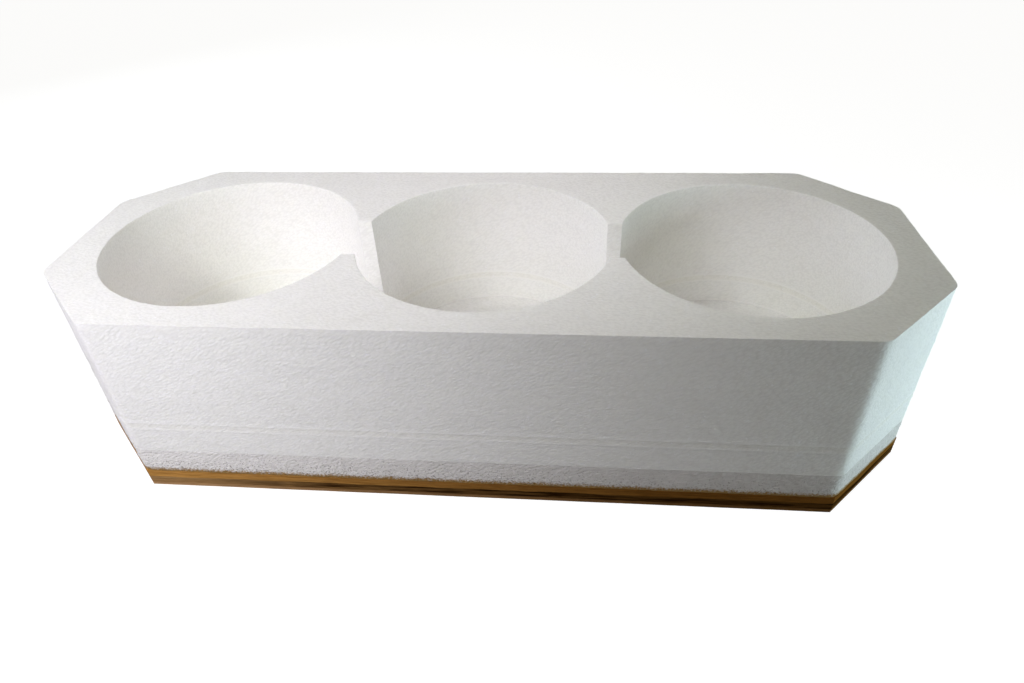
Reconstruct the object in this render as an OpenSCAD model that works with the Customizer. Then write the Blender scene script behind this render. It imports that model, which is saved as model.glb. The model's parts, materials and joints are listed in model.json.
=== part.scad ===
// Foam packaging insert: four foam sheets welded on top of each other, on a
// plywood base, with a row of round pockets cut down through the upper three.
// The origin is at the middle of the underside. X runs along the row.

/* [Pockets] */
// Number of pockets in the row
pocket_count = 3; // [1:1:6]
// Diameter of each pocket
pocket_diameter = 110.4; // [50:0.1:200]
// Thickness of the web between two pockets, at its thinnest place
web_thickness = 2.4; // [0.4:0.1:30]
// Width of the opening cut through the middle of each web
web_opening = 29; // [4:0.1:100]

/* [Outline] */
// Foam left between the row of pockets and each end
end_wall = 14.3; // [3:0.1:80]
// Foam left between the pockets and each long side
side_wall = 12.9; // [3:0.1:80]
// Leg of the straight cut at each of the four corners
corner_cut = 35.9; // [2:0.1:55]

/* [Layers] */
// Thickness of the plywood base
plywood_thickness = 9; // [3:0.1:25]
// Thickness of the foam sheet that the pockets end on
lower_pad_thickness = 12.7; // [3:0.1:60]
// Thickness of the foam sheet on that, which the pockets pass through
middle_layer_thickness = 12.5; // [3:0.1:60]
// Thickness of the thin foam sheet under the plank
thin_sheet_thickness = 3.5; // [1:0.1:20]
// Thickness of the foam plank at the top
upper_block_thickness = 50.8; // [10:0.1:150]

/* [Hidden] */
$fn = 128;

// The row of pockets, from the first centre to the last
pocket_pitch = pocket_diameter + web_thickness;
row_length = (pocket_count - 1) * pocket_pitch;
pocket_places = [for (i = [0 : pocket_count - 1]) i * pocket_pitch - row_length / 2];

// The outline goes round the row with its walls
insert_length = row_length + pocket_diameter + 2 * end_wall;
insert_width = pocket_diameter + 2 * side_wall;

// Heights of the faces where the layers meet
lower_pad_z = plywood_thickness;
middle_layer_z = lower_pad_z + lower_pad_thickness;
thin_sheet_z = middle_layer_z + middle_layer_thickness;
upper_block_z = thin_sheet_z + thin_sheet_thickness;

// Outline that all the layers share: a rectangle with its corners cut off
module outline() {
    half_length = insert_length / 2;
    half_width = insert_width / 2;
    end_x = half_length - corner_cut;
    end_y = half_width - corner_cut;
    polygon([
        [half_length, -end_y],
        [half_length, end_y],
        [end_x, half_width],
        [-end_x, half_width],
        [-half_length, end_y],
        [-half_length, -end_y],
        [-end_x, -half_width],
        [end_x, -half_width]
    ]);
}

// One whole sheet of the stack, cut to the outline
module sheet(bottom_z, thickness) {
    translate([0, 0, bottom_z])
        linear_extrude(height = thickness)
            outline();
}

// One sheet of the stack with the pockets cut through it. The thin webs between
// the pockets are cut away in the middle, which leaves blunt points on both sides.
module pocketed_sheet(bottom_z, thickness) {
    translate([0, 0, bottom_z])
        linear_extrude(height = thickness)
            difference() {
                outline();
                for (x = pocket_places)
                    translate([x, 0])
                        circle(d = pocket_diameter);
                if (pocket_count > 1)
                    square([row_length, web_opening], center = true);
            }
}

// Plywood board under the foam
module plywood_base() {
    color("peru")
        sheet(0, plywood_thickness);
}

// Whole foam sheet on the board, the floor of the pockets
module lower_foam_pad() {
    color("gainsboro")
        sheet(lower_pad_z, lower_pad_thickness);
}

// Foam sheet round the lower ends of the pockets
module middle_foam_layer() {
    color("whitesmoke")
        pocketed_sheet(middle_layer_z, middle_layer_thickness);
}

// Thin foam sheet, welded between the middle sheet and the plank
module thin_foam_sheet() {
    color("ivory")
        pocketed_sheet(thin_sheet_z, thin_sheet_thickness);
}

// Thick foam plank, the upper part of the pockets
module upper_foam_block() {
    color("white")
        pocketed_sheet(upper_block_z, upper_block_thickness);
}

plywood_base();
lower_foam_pad();
middle_foam_layer();
thin_foam_sheet();
upper_foam_block();
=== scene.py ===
import json
import math

import bpy
from mathutils import Matrix, Vector, noise


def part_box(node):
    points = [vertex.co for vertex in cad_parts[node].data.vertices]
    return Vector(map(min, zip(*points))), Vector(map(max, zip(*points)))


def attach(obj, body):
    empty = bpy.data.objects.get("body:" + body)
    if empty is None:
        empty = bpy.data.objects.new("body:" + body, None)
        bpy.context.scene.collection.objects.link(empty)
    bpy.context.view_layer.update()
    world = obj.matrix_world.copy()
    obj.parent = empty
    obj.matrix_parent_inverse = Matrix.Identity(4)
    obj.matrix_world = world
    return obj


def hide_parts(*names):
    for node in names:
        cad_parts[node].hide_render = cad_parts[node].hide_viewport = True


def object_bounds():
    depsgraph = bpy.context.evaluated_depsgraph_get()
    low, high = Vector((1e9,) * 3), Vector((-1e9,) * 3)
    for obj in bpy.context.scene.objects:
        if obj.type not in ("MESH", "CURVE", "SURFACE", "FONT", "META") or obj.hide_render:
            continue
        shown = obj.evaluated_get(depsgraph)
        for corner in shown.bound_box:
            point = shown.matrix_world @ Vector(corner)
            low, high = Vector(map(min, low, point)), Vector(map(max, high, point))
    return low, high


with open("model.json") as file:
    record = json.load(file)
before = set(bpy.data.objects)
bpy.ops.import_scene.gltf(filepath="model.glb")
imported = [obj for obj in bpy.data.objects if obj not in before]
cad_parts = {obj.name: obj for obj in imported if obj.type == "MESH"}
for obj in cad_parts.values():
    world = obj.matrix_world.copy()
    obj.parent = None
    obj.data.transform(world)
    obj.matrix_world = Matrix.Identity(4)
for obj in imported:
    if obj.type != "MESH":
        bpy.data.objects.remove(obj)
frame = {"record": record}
cad_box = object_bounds()

# Sizes of the insert, in metres
MM = 0.001
HALF_LENGTH = cad_box[1][0]
HALF_WIDTH = cad_box[1][1]
CORNER_CUT = 35.9 * MM
WEB_OPENING = 29 * MM
POCKETS = [mount for mount in frame["record"]["mounts"] if mount["kind"] == "bore"]
POCKET_RADIUS = POCKETS[0]["dims"]["r_mm"] * MM
POCKET_PLACES = sorted(mount["pos_m"][0] for mount in POCKETS)

# Spacing of the mesh and softness of the cut edges
WALL_STEP = 1.15 * MM
BOARD_STEP = 0.6 * MM
TOP_ROWS = 14
FLOOR_ROWS = 64
FILLET_STEPS = 4
RIM_FILLET = 0.4 * MM
CORNER_PASSES = 3
WELD_BEAD = 0.2 * MM
SEAM_GAP = 0.03 * MM
SHARP_ANGLE = math.radians(40)


# Plan of the insert
def half_rim():
    """Points of the pocket row's rim on the near side, from its left end to its right end."""
    points = []
    open_angle = math.asin(WEB_OPENING / 2 / POCKET_RADIUS)
    last = len(POCKET_PLACES) - 1
    for place, centre in enumerate(POCKET_PLACES):
        start = math.pi + (open_angle if place > 0 else 0)
        end = 2 * math.pi - (open_angle if place < last else 0)
        steps = round((end - start) * POCKET_RADIUS / WALL_STEP)
        for i in range(steps + 1):
            angle = start + (end - start) * i / steps
            points.append((centre + POCKET_RADIUS * math.cos(angle), POCKET_RADIUS * math.sin(angle)))
        if place < last:
            tip_start = points[-1][0]
            tip_end = POCKET_PLACES[place + 1] - POCKET_RADIUS * math.cos(open_angle)
            tip_steps = round((tip_end - tip_start) / WALL_STEP)
            for i in range(1, tip_steps):
                points.append((tip_start + (tip_end - tip_start) * i / tip_steps, -WEB_OPENING / 2))
    points[0] = (points[0][0], 0.0)
    points[-1] = (points[-1][0], 0.0)
    return points


def outline_point(point):
    """The place on the outline straight across the wall from a point of the rim."""
    x, y = point
    centre = min(max(x, POCKET_PLACES[0]), POCKET_PLACES[-1])
    across = abs(x - centre)
    along = abs(y)
    limits = [(HALF_LENGTH + HALF_WIDTH - CORNER_CUT - abs(centre)) / (across + along)]
    if along > 0:
        limits.append(HALF_WIDTH / along)
    if across > 0:
        limits.append((HALF_LENGTH - abs(centre)) / across)
    reach = min(limits)
    return (centre + (x - centre) * reach, y * reach)


def with_corners(loop):
    """The outline with the nearest of its points moved to each of the eight corners."""
    end_x = HALF_LENGTH - CORNER_CUT
    end_y = HALF_WIDTH - CORNER_CUT
    for x, y in ((HALF_LENGTH, end_y), (end_x, HALF_WIDTH)):
        for corner in ((x, y), (-x, y), (x, -y), (-x, -y)):
            nearest = min(range(len(loop)), key=lambda i: math.dist(loop[i], corner))
            loop[nearest] = corner
    return loop


def soften(loop, passes):
    """A closed loop with its corners worn round."""
    for _ in range(passes):
        before = loop[-1:] + loop[:-1]
        after = loop[1:] + loop[:1]
        loop = [
            ((a[0] + 2 * b[0] + c[0]) / 4, (a[1] + 2 * b[1] + c[1]) / 4)
            for a, b, c in zip(before, loop, after)
        ]
    return loop


NEAR_RIM = half_rim()
RIM = NEAR_RIM + [(x, -y) for x, y in reversed(NEAR_RIM[1:-1])]
BOARD_OUTLINE = with_corners([outline_point(point) for point in RIM])
FOAM_OUTLINE = soften(BOARD_OUTLINE, CORNER_PASSES)
COLUMNS = len(RIM)
HALF_COLUMNS = len(NEAR_RIM) - 1


def between(a, b, share):
    return (a[0] + (b[0] - a[0]) * share, a[1] + (b[1] - a[1]) * share)


def wall_heights(low, high, step):
    rows = max(1, round((high - low) / step))
    return [low + (high - low) * i / rows for i in range(rows + 1)]


def fillet(radius):
    """Steps round a worn edge: how far in from the wall, and how far below the top."""
    if radius == 0:
        return [(0.0, 0.0)]
    turns = [math.pi / 2 * i / FILLET_STEPS for i in range(FILLET_STEPS + 1)]
    return [(radius * (1 - math.cos(turn)), radius * (1 - math.sin(turn))) for turn in turns]


def make_piece(name, vertices, faces):
    mesh = bpy.data.meshes.new(name)
    mesh.from_pydata(vertices, [], faces)
    mesh.validate()
    mesh.shade_smooth()
    mesh.set_sharp_from_angle(angle=SHARP_ANGLE)
    piece = bpy.data.objects.new(name, mesh)
    bpy.context.scene.collection.objects.link(piece)
    return piece


def layer_heights(node):
    """The faces of a layer, with a hair's breadth left free where it meets the next one."""
    lower_corner, upper_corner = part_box(node)
    return lower_corner[2] + SEAM_GAP, upper_corner[2] - SEAM_GAP


def pocketed_piece(name, node, rim_fillet, bead):
    """A layer with the pockets through it, as one closed skin that goes round the ring of foam."""
    low, high = layer_heights(node)
    vertices = []
    for inner, outer in zip(RIM, FOAM_OUTLINE):
        width = math.dist(inner, outer)
        section = [(0.0, z) for z in wall_heights(low, high - rim_fillet, WALL_STEP)[:-1]]
        section += [(inset, high - drop) for inset, drop in fillet(rim_fillet)]
        section += [(rim_fillet + (width - rim_fillet) * i / TOP_ROWS, high) for i in range(1, TOP_ROWS)]
        section += [(width, z) for z in reversed(wall_heights(low, high, WALL_STEP))]
        section[0] = (-bead, low)
        section[-1] = (width + bead, low)
        vertices += [(*between(inner, outer, inset / width), z) for inset, z in section]
    rows = len(vertices) // COLUMNS
    faces = []
    for i in range(COLUMNS):
        here = i * rows
        there = (i + 1) % COLUMNS * rows
        for j in range(rows):
            k = (j + 1) % rows
            faces.append((here + j, here + k, there + k, there + j))
    return make_piece(name, vertices, faces)


def whole_piece(name, node, outline, step, floor_rows):
    """A layer without pockets: its sides, and a top and an underside that meet the same columns."""
    low, high = layer_heights(node)
    heights = wall_heights(low, high, step)
    rows = len(heights)
    vertices = [(x, y, z) for x, y in outline for z in heights]
    faces = []
    for i in range(COLUMNS):
        here = i * rows
        there = (i + 1) % COLUMNS * rows
        for j in range(rows - 1):
            faces.append((here + j, there + j, there + j + 1, here + j + 1))
    for z, side_row, is_top in ((high, rows - 1, True), (low, 0, False)):
        add_face_plane(vertices, faces, rows, side_row, z, floor_rows if is_top else 1, is_top)
    return make_piece(name, vertices, faces)


def add_face_plane(vertices, faces, rows, side_row, z, strips, is_top):
    """The flat top or underside of a whole layer: a border as wide as the walls, and strips inside it."""
    rim_start = len(vertices)
    vertices += [(x, y, z) for x, y in RIM]

    def add(*corners):
        faces.append(corners if is_top else corners[::-1])

    for i in range(COLUMNS):
        k = (i + 1) % COLUMNS
        add(i * rows + side_row, k * rows + side_row, rim_start + k, rim_start + i)
    strip = {0: [rim_start], HALF_COLUMNS: [rim_start + HALF_COLUMNS]}
    for i in range(1, HALF_COLUMNS):
        near = rim_start + i
        far = rim_start + COLUMNS - i
        inside_start = len(vertices)
        vertices += [(*between(RIM[i], RIM[COLUMNS - i], j / strips), z) for j in range(1, strips)]
        strip[i] = [near, *range(inside_start, inside_start + strips - 1), far]
    for i in range(1, HALF_COLUMNS - 1):
        for j in range(strips):
            add(strip[i][j], strip[i + 1][j], strip[i + 1][j + 1], strip[i][j + 1])
    for j in range(strips):
        add(strip[0][0], strip[1][j], strip[1][j + 1])
        add(strip[HALF_COLUMNS - 1][j], strip[HALF_COLUMNS][0], strip[HALF_COLUMNS - 1][j + 1])


# Fine unevenness of the cut faces, as sizes of the lumps with their depths
FOAM_WAVES = ((2.4 * MM, 0.15 * MM), (14 * MM, 0.15 * MM))
PAD_WAVES = ((2.2 * MM, 0.25 * MM), (11 * MM, 0.2 * MM))
BOARD_WAVES = ((2 * MM, 0.06 * MM), (25 * MM, 0.12 * MM))


def everywhere(x, y):
    return True


def nowhere(x, y):
    return False


def on_pocket_floor(x, y):
    return min(math.hypot(x - place, y) for place in POCKET_PLACES) < POCKET_RADIUS - WALL_STEP


def roughen(piece, waves, free_top):
    """Moves each point along its normal by a sum of noises. Faces that meet another layer stay level."""
    mesh = piece.data
    heights = [vertex.co.z for vertex in mesh.vertices]
    low, high = min(heights), max(heights)
    moved = []
    for vertex, normal in zip(mesh.vertices, mesh.vertex_normals):
        x, y, z = vertex.co
        direction = normal.vector.copy()
        if z == low or (z == high and not free_top(x, y)):
            direction.z = 0.0
        shift = sum(depth * noise.noise(vertex.co / size) for size, depth in waves)
        moved.append(vertex.co + direction * shift)
    for vertex, place in zip(mesh.vertices, moved):
        vertex.co = place


# Plain white, which leaves a colour as it is when it is multiplied by it
WHITE = (1.0, 1.0, 1.0)

# Cells of the foam, as cut
FINE_CELL = 0.9 * MM
COARSE_CELL = 0.95 * MM
CELL_SLANT = math.radians(-27)
CELL_STRETCH = (2.3, 1.0, 1.0)
CELL_BORDER = (0.93, 0.93, 0.93)
CELL_GRAIN = 0.6
MOTTLE_SIZE = 9 * MM
FOAM_RELIEF = 0.15 * MM
SCATTER_DEPTH = 1.5 * MM

# Small cell walls with a painted glint: their base colour is lightened, and they get a little metallic
# gloss
SPARKLE_SIZE = 0.9 * MM
SPARKLE_SHARE = 0.035
SPARKLE_REACH = 0.4
SPARKLE_GLOSS = 0.17
PAINTED_GLINT_COLOUR = (0.99, 0.99, 0.99, 1.0)

# White foam, the slightly creamier thin sheet, and a painted highlight along the welds between them
WHITE_LIGHT = (0.975, 0.972, 0.948)
WHITE_DARK = (0.96, 0.957, 0.932)
THIN_LIGHT = (0.968, 0.962, 0.92)
THIN_DARK = (0.953, 0.947, 0.905)
WELD_LINE = 1.2 * MM
WELD_HIGHLIGHT_COLOUR = (0.998, 0.994, 0.968, 1.0)

# Coarse foam of the lower pad, with painted shade on its sides that grows towards the right, and painted
# shade in its torn pits
PAD_LIGHT = (0.965, 0.955, 0.945)
PAD_DARK = (0.935, 0.925, 0.915)
PAD_SHADE_LEFT = (0.97, 0.96, 0.955, 1.0)
PAD_SHADE_RIGHT = (0.8, 0.785, 0.775, 1.0)
PAD_SHADE_SHARES = (-0.9, 0.6)
PAD_SIDE_LIMIT = 0.6
PAD_RELIEF = 0.3 * MM
PIT_SIZE = 0.75 * MM
PIT_LEVEL = 0.31
PIT_SPREAD = 0.14
PIT_SOFTNESS = 0.1
PIT_SHADE_COLOUR = (0.52, 0.49, 0.47, 1.0)

# Glue between the pad and the board
GLUE_TOP = 0.6 * MM
GLUE_FADE = 1.8 * MM
GLUE_RAG = 4 * MM
GLUE_LUMP = 0.9 * MM
GLUE_COLOUR = (0.33, 0.2, 0.07, 1.0)

# Plywood: its plies from the underside up, the dark streaks of its core, and how it darkens to the right
STREAK_SIZE = 1.2 * MM
GRAIN_SIZE = 0.45 * MM
GRAIN_STRETCH = (16.0, 16.0, 1.0)
GRAIN_RELIEF = 0.3 * MM
PLY_WANDER = 0.1
PLY_STOPS = (
    (0.0, (0.52, 0.32, 0.16)),
    (0.19, (0.48, 0.28, 0.13)),
    (0.23, (0.38, 0.22, 0.09)),
    (0.56, (0.40, 0.24, 0.1)),
    (0.61, (0.58, 0.30, 0.08)),
    (1.0, (0.54, 0.27, 0.07)),
)
CORE_STOPS = ((0.17, (0.15, 0.15, 0.15)), (0.24, WHITE), (0.56, WHITE), (0.62, (0.2, 0.2, 0.2)))
STREAK_STOPS = ((0.4, (0.14, 0.1, 0.06)), (0.6, (0.6, 0.55, 0.45)))
STREAK_SHARES = (-0.72, -0.35)
FIBRE_STOPS = ((0.35, (0.7, 0.68, 0.65)), (0.6, WHITE))
RIGHTWARD_TONE = (0.48, 0.41, 0.3, 1.0)
RIGHTWARD_SHARES = (-0.6, 0.4)


# Materials
def add_node(tree, kind, **settings):
    made = tree.nodes.new(kind)
    for name, value in settings.items():
        setattr(made, name, value)
    return made


def set_inputs(made, **values):
    for name, value in values.items():
        made.inputs[name.replace("_", " ")].default_value = value


def start_material(name):
    material = bpy.data.materials.new(name)
    material.use_nodes = True
    tree = material.node_tree
    shader = tree.nodes["Principled BSDF"]
    place = add_node(tree, "ShaderNodeTexCoord").outputs["Object"]
    return material, tree, shader, place


def voronoi(tree, place, size):
    cells = add_node(tree, "ShaderNodeTexVoronoi")
    cells.inputs["Scale"].default_value = 1 / size
    tree.links.new(place, cells.inputs["Vector"])
    return cells


def noise_texture(tree, place, size, detail):
    made = add_node(tree, "ShaderNodeTexNoise")
    set_inputs(made, Scale=1 / size, Detail=detail)
    tree.links.new(place, made.inputs["Vector"])
    return made.outputs["Fac"]


def ramp(tree, value, *stops):
    made = add_node(tree, "ShaderNodeValToRGB")
    elements = made.color_ramp.elements
    while len(elements) < len(stops):
        elements.new(1.0)
    for element, (position, colour) in zip(elements, stops):
        element.position = position
        element.color = (*colour, 1.0)
    tree.links.new(value, made.inputs["Fac"])
    return made.outputs["Color"]


def mix_colour(tree, share, first, second, blend_type="MIX"):
    made = add_node(tree, "ShaderNodeMix", data_type="RGBA", blend_type=blend_type)
    for value, socket in ((share, made.inputs[0]), (first, made.inputs[6]), (second, made.inputs[7])):
        if isinstance(value, bpy.types.NodeSocket):
            tree.links.new(value, socket)
        else:
            socket.default_value = value
    return made.outputs[2]


def maths(tree, operation, first, second, use_clamp=False):
    made = add_node(tree, "ShaderNodeMath", operation=operation, use_clamp=use_clamp)
    for value, socket in ((first, made.inputs[0]), (second, made.inputs[1])):
        if isinstance(value, bpy.types.NodeSocket):
            tree.links.new(value, socket)
        else:
            socket.default_value = value
    return made.outputs[0]


def split(tree, kind, value):
    """The three parts of a colour or of a place."""
    made = add_node(tree, kind)
    tree.links.new(value, made.inputs[0])
    return made.outputs[0], made.outputs[1], made.outputs[2]


def drawn_out(tree, place, turn, stretch):
    """Places turned about the Y axis and drawn out, so that a pattern gets longer in that direction."""
    made = add_node(tree, "ShaderNodeMapping", vector_type="TEXTURE")
    set_inputs(made, Rotation=(0.0, turn, 0.0), Scale=stretch)
    tree.links.new(place, made.inputs["Vector"])
    return made.outputs["Vector"]


def level_share(tree, height, low, high):
    """Goes from 0 at one height to 1 at the other, and stays level beyond them."""
    return maths(tree, "DIVIDE", maths(tree, "SUBTRACT", height, low), high - low, use_clamp=True)


def length_share(tree, along, shares):
    """Goes from 0 at one place to 1 at another, both given as shares of the half length."""
    start, end = shares
    return level_share(tree, along, start * HALF_LENGTH, end * HALF_LENGTH)


def add_bump(tree, shader, height, depth):
    bump = add_node(tree, "ShaderNodeBump")
    set_inputs(bump, Strength=1.0, Distance=depth)
    tree.links.new(height, bump.inputs["Height"])
    tree.links.new(bump.outputs["Normal"], shader.inputs["Normal"])


def gloss_and_painted_glints(tree, place):
    """Small cell walls that get a painted glint in their base colour and a little metallic gloss."""
    cells = voronoi(tree, place, SPARKLE_SIZE)
    chance = split(tree, "ShaderNodeSeparateColor", cells.outputs["Color"])[0]
    picked = maths(tree, "LESS_THAN", chance, SPARKLE_SHARE)
    core = maths(tree, "LESS_THAN", cells.outputs["Distance"], SPARKLE_REACH)
    return maths(tree, "MULTIPLY", picked, core)


def cut_cells(tree, place, light, dark, cell_size):
    """Colour and relief of cut foam: drawn-out cells with darker borders, on a faint mottle."""
    slanted = drawn_out(tree, place, CELL_SLANT, CELL_STRETCH)
    cells = voronoi(tree, slanted, cell_size)
    mottle = noise_texture(tree, place, MOTTLE_SIZE, 3.0)
    fine = noise_texture(tree, slanted, cell_size / 2, 2.0)
    body = ramp(tree, mottle, (0.35, dark), (0.65, light))
    borders = ramp(tree, cells.outputs["Distance"], (0.3, WHITE), (0.8, CELL_BORDER))
    body = mix_colour(tree, 1.0, body, borders, "MULTIPLY")
    relief = maths(tree, "SUBTRACT", maths(tree, "MULTIPLY", fine, CELL_GRAIN), cells.outputs["Distance"])
    return body, relief


def finish_foam(shader):
    set_inputs(shader, Roughness=0.8, Specular_IOR_Level=0.1)
    set_inputs(shader, Subsurface_Weight=0.35, Subsurface_Radius=(1.0, 1.0, 0.9))
    set_inputs(shader, Subsurface_Scale=SCATTER_DEPTH)


def foam_material(name, light, dark, node):
    """Fine white foam, with a faint painted highlight along the weld under its layer."""
    material, tree, shader, place = start_material(name)
    body, relief = cut_cells(tree, place, light, dark, FINE_CELL)
    height = split(tree, "ShaderNodeSeparateXYZ", place)[2]
    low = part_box(node)[0][2]
    # Painted highlight: a lighter band along the weld at the bottom of the layer
    weld_highlight = level_share(tree, height, low + WELD_LINE, low)
    body = mix_colour(tree, weld_highlight, body, WELD_HIGHLIGHT_COLOUR)
    gloss_and_painted_glint = gloss_and_painted_glints(tree, place)
    # Painted glint: the dots' base colour is lightened, and they also get a little metallic gloss
    body = mix_colour(tree, gloss_and_painted_glint, body, PAINTED_GLINT_COLOUR)
    tree.links.new(maths(tree, "MULTIPLY", gloss_and_painted_glint, SPARKLE_GLOSS), shader.inputs["Metallic"])
    tree.links.new(body, shader.inputs["Base Color"])
    add_bump(tree, shader, relief, FOAM_RELIEF)
    finish_foam(shader)
    return material


def coarse_foam_material():
    """Coarse foam with torn pits, most of them near the board, painted shade on its sides and in the
    pits, and a ragged brown edge along the glue.
    """
    material, tree, shader, place = start_material("coarse_foam")
    body, relief = cut_cells(tree, place, PAD_LIGHT, PAD_DARK, COARSE_CELL)
    along, _, height = split(tree, "ShaderNodeSeparateXYZ", place)
    low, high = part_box("lower_foam_pad")[0][2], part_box("lower_foam_pad")[1][2]
    geometry = add_node(tree, "ShaderNodeNewGeometry")
    upward = split(tree, "ShaderNodeSeparateXYZ", geometry.outputs["Normal"])[2]
    # Painted shade: the sides, not the top, are darkened, more towards the right
    side = maths(tree, "LESS_THAN", upward, PAD_SIDE_LIMIT)
    shade_share = length_share(tree, along, PAD_SHADE_SHARES)
    side_shade = mix_colour(tree, shade_share, PAD_SHADE_LEFT, PAD_SHADE_RIGHT)
    body = mix_colour(tree, side, body, side_shade, "MULTIPLY")
    # Torn pits on the sides: dents in the relief, with painted shade in them
    holes = noise_texture(tree, place, PIT_SIZE, 1.0)
    nearness = maths(tree, "SUBTRACT", 1.0, level_share(tree, height, low, high))
    depth = maths(tree, "SUBTRACT", maths(tree, "MULTIPLY", nearness, PIT_SPREAD), holes)
    pit_relief_and_shade = maths(tree, "MULTIPLY", level_share(tree, depth, -PIT_LEVEL, PIT_SOFTNESS - PIT_LEVEL), side)
    body = mix_colour(tree, pit_relief_and_shade, body, PIT_SHADE_COLOUR)
    ragged = maths(tree, "MULTIPLY", noise_texture(tree, place, GLUE_LUMP, 3.0), GLUE_RAG)
    glue_top = low + GLUE_TOP
    glue = level_share(tree, maths(tree, "SUBTRACT", height, ragged), glue_top, glue_top - GLUE_FADE)
    body = mix_colour(tree, glue, body, GLUE_COLOUR)
    tree.links.new(body, shader.inputs["Base Color"])
    add_bump(tree, shader, maths(tree, "SUBTRACT", relief, pit_relief_and_shade), PAD_RELIEF)
    finish_foam(shader)
    return material


def plywood_material():
    """Sawn edge of the board: an orange ply, a dark streaked core and a thin pale ply."""
    material, tree, shader, place = start_material("sawn_plywood")
    along, _, height = split(tree, "ShaderNodeSeparateXYZ", place)
    lengthwise = drawn_out(tree, place, 0.0, GRAIN_STRETCH)
    streaks = noise_texture(tree, lengthwise, STREAK_SIZE, 4.0)
    grain = noise_texture(tree, lengthwise, GRAIN_SIZE, 3.0)
    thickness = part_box("plywood_base")[1][2]
    wander = maths(tree, "MULTIPLY", maths(tree, "SUBTRACT", streaks, 0.5), PLY_WANDER)
    level = maths(tree, "ADD", maths(tree, "DIVIDE", height, thickness), wander)
    plies = ramp(tree, level, *PLY_STOPS)
    core = ramp(tree, level, *CORE_STOPS)
    streaked = maths(tree, "MULTIPLY", core, length_share(tree, along, STREAK_SHARES))
    body = mix_colour(tree, streaked, plies, ramp(tree, streaks, *STREAK_STOPS), "MULTIPLY")
    body = mix_colour(tree, 1.0, body, ramp(tree, grain, *FIBRE_STOPS), "MULTIPLY")
    # Darker towards the right
    body = mix_colour(tree, length_share(tree, along, RIGHTWARD_SHARES), body, RIGHTWARD_TONE, "MULTIPLY")
    tree.links.new(body, shader.inputs["Base Color"])
    add_bump(tree, shader, grain, GRAIN_RELIEF)
    set_inputs(shader, Roughness=0.85, Specular_IOR_Level=0.0)
    return material


upper_foam = foam_material("upper_foam", WHITE_LIGHT, WHITE_DARK, "upper_foam_block")
thin_foam = foam_material("thin_foam", THIN_LIGHT, THIN_DARK, "thin_foam_sheet")
middle_foam = foam_material("middle_foam", WHITE_LIGHT, WHITE_DARK, "middle_foam_layer")
coarse_foam = coarse_foam_material()
sawn_plywood = plywood_material()

# Pieces
upper = pocketed_piece("upper_foam", "upper_foam_block", RIM_FILLET, WELD_BEAD)
thin = pocketed_piece("thin_foam", "thin_foam_sheet", 0, WELD_BEAD)
middle = pocketed_piece("middle_foam", "middle_foam_layer", 0, 0)
lower = whole_piece("lower_foam", "lower_foam_pad", FOAM_OUTLINE, WALL_STEP, FLOOR_ROWS)
board = whole_piece("plywood_board", "plywood_base", BOARD_OUTLINE, BOARD_STEP, 1)

roughen(upper, FOAM_WAVES, everywhere)
roughen(thin, FOAM_WAVES, nowhere)
roughen(middle, FOAM_WAVES, nowhere)
roughen(lower, PAD_WAVES, on_pocket_floor)
roughen(board, BOARD_WAVES, nowhere)

for piece, node, slot, material in (
    (upper, "upper_foam_block", "white_foam", upper_foam),
    (thin, "thin_foam_sheet", "white_foam", thin_foam),
    (middle, "middle_foam_layer", "white_foam", middle_foam),
    (lower, "lower_foam_pad", "coarse_foam", coarse_foam),
    (board, "plywood_base", "plywood", sawn_plywood),
):
    piece.data.materials.append(material)
    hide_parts(node)
    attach(piece, "root")

# Camera
CAMERA_PLACE = (39.13 * MM, -267.64 * MM, 237.5 * MM)
CAMERA_PITCH = math.radians(37.241)
CAMERA_ROLL = math.radians(-2.422)
CAMERA_YAW = math.radians(-6.182)
FOCAL_PIXELS = 708.29
IMAGE_WIDTH = 1024
SENSOR_WIDTH = 36
NEAR_CLIP = 10 * MM

camera = bpy.data.cameras.new("camera")
camera.sensor_width = SENSOR_WIDTH
camera.lens = FOCAL_PIXELS * SENSOR_WIDTH / IMAGE_WIDTH
camera.clip_start = NEAR_CLIP
camera_object = bpy.data.objects.new("camera", camera)
camera_object.matrix_world = (
    Matrix.Translation(CAMERA_PLACE)
    @ Matrix.Rotation(-CAMERA_YAW, 4, "Z")
    @ Matrix.Rotation(math.pi / 2 - CAMERA_PITCH, 4, "X")
    @ Matrix.Rotation(CAMERA_ROLL, 4, "Z")
)
bpy.context.scene.collection.objects.link(camera_object)
bpy.context.scene.camera = camera_object

# Floor, light and background
FLOOR_SIZE = 12.0
FLOOR_PAINT = (0.25, 0.25, 0.25, 1.0)
FLOOR_GLOW = 0.94
AMBIENT_COLOUR = (1.0, 0.88, 0.5, 1.0)
AMBIENT_STRENGTH = 0.122
DIFFUSE_BOUNCES = 12


def white_when_seen(tree, seen, other):
    """Shows one shader to the eye, also in gloss and through glass, and another to all other light."""
    path = add_node(tree, "ShaderNodeLightPath")
    direct = maths(tree, "MAXIMUM", path.outputs["Is Camera Ray"], path.outputs["Is Glossy Ray"])
    direct = maths(tree, "MAXIMUM", direct, path.outputs["Is Transmission Ray"])
    mixed = add_node(tree, "ShaderNodeMixShader")
    tree.links.new(direct, mixed.inputs["Fac"])
    tree.links.new(other, mixed.inputs[1])
    tree.links.new(seen, mixed.inputs[2])
    return mixed.outputs["Shader"]


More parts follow.
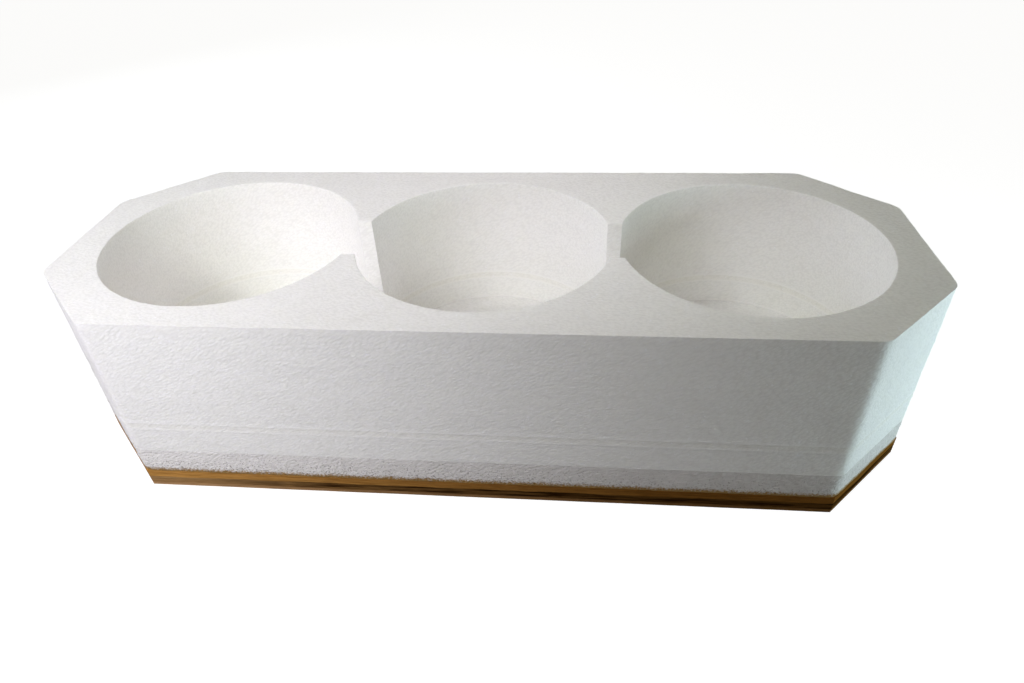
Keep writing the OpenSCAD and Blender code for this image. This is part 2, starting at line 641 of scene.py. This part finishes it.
def make_floor():
    half = FLOOR_SIZE / 2
    corners = [(-half, -half, 0), (half, -half, 0), (half, half, 0), (-half, half, 0)]
    mesh = bpy.data.meshes.new("floor")
    mesh.from_pydata(corners, [], [(0, 1, 2, 3)])
    floor = bpy.data.objects.new("floor", mesh)
    bpy.context.scene.collection.objects.link(floor)
    material = bpy.data.materials.new("pale_floor")
    material.use_nodes = True
    tree = material.node_tree
    tree.nodes.clear()
    paint = add_node(tree, "ShaderNodeBsdfDiffuse")
    set_inputs(paint, Color=FLOOR_PAINT)
    glow = add_node(tree, "ShaderNodeEmission")
    set_inputs(glow, Strength=FLOOR_GLOW)
    lifted = add_node(tree, "ShaderNodeAddShader")
    tree.links.new(paint.outputs[0], lifted.inputs[0])
    tree.links.new(glow.outputs[0], lifted.inputs[1])
    out = add_node(tree, "ShaderNodeOutputMaterial")
    tree.links.new(white_when_seen(tree, lifted.outputs[0], paint.outputs[0]), out.inputs["Surface"])
    mesh.materials.append(material)


def make_world():
    world = bpy.data.worlds.new("studio")
    world.use_nodes = True
    bpy.context.scene.world = world
    tree = world.node_tree
    tree.nodes.clear()
    white = add_node(tree, "ShaderNodeBackground")
    set_inputs(white, Color=(*WHITE, 1.0), Strength=1.0)
    dim = add_node(tree, "ShaderNodeBackground")
    set_inputs(dim, Color=AMBIENT_COLOUR, Strength=AMBIENT_STRENGTH)
    out = add_node(tree, "ShaderNodeOutputWorld")
    tree.links.new(white_when_seen(tree, white.outputs[0], dim.outputs[0]), out.inputs["Surface"])


def soft_light(name, place, aim, size, spread, power, colour):
    lamp = bpy.data.lights.new(name, "AREA")
    lamp.shape = "SQUARE"
    lamp.size = size
    lamp.spread = math.radians(spread)
    lamp.energy = power
    lamp.color = colour
    lamp_object = bpy.data.objects.new(name, lamp)
    lamp_object.location = place
    lamp_object.visible_camera = False
    lamp_object.rotation_euler = (Vector(aim) - Vector(place)).to_track_quat("-Z", "Y").to_euler()
    bpy.context.scene.collection.objects.link(lamp_object)


# Each lamp: name, place, aim, size, spread in degrees, power and colour
LIGHTS = (
    ("low_beam", (-0.30, -0.30, 0.28), (-0.10, -0.04, 0.06), 0.2, 80, 0.134, (0.79, 0.72, 1.0)),
    ("front_beam", (-0.20, -0.40, 0.40), (-0.16, 0.0, 0.06), 0.2, 60, 0.24, (0.98, 1.0, 0.96)),
    ("right_pocket_beam", (-0.20, -0.10, 0.45), (0.15, 0.02, 0.06), 0.15, 35, 0.03, (0.95, 1.0, 0.97)),
    ("left_pocket_beam", (0.25, 0.25, 0.45), (-0.08, 0.0, 0.04), 0.15, 40, 0.042, (0.98, 0.9, 1.0)),
    ("back_light", (-0.45, 0.4, 0.35), (-0.05, 0.0, 0.05), 0.3, 180, 1.12, (0.82, 0.88, 1.0)),
    ("cool_fill", (0.45, -0.085, 0.08), (0.15, -0.03, 0.05), 0.15, 180, 0.779, (0.745, 0.932, 1.0)),
)

make_floor()
make_world()
for light in LIGHTS:
    soft_light(*light)

bpy.context.scene.cycles.diffuse_bounces = DIFFUSE_BOUNCES
bpy.context.scene.view_settings.view_transform = "Standard"
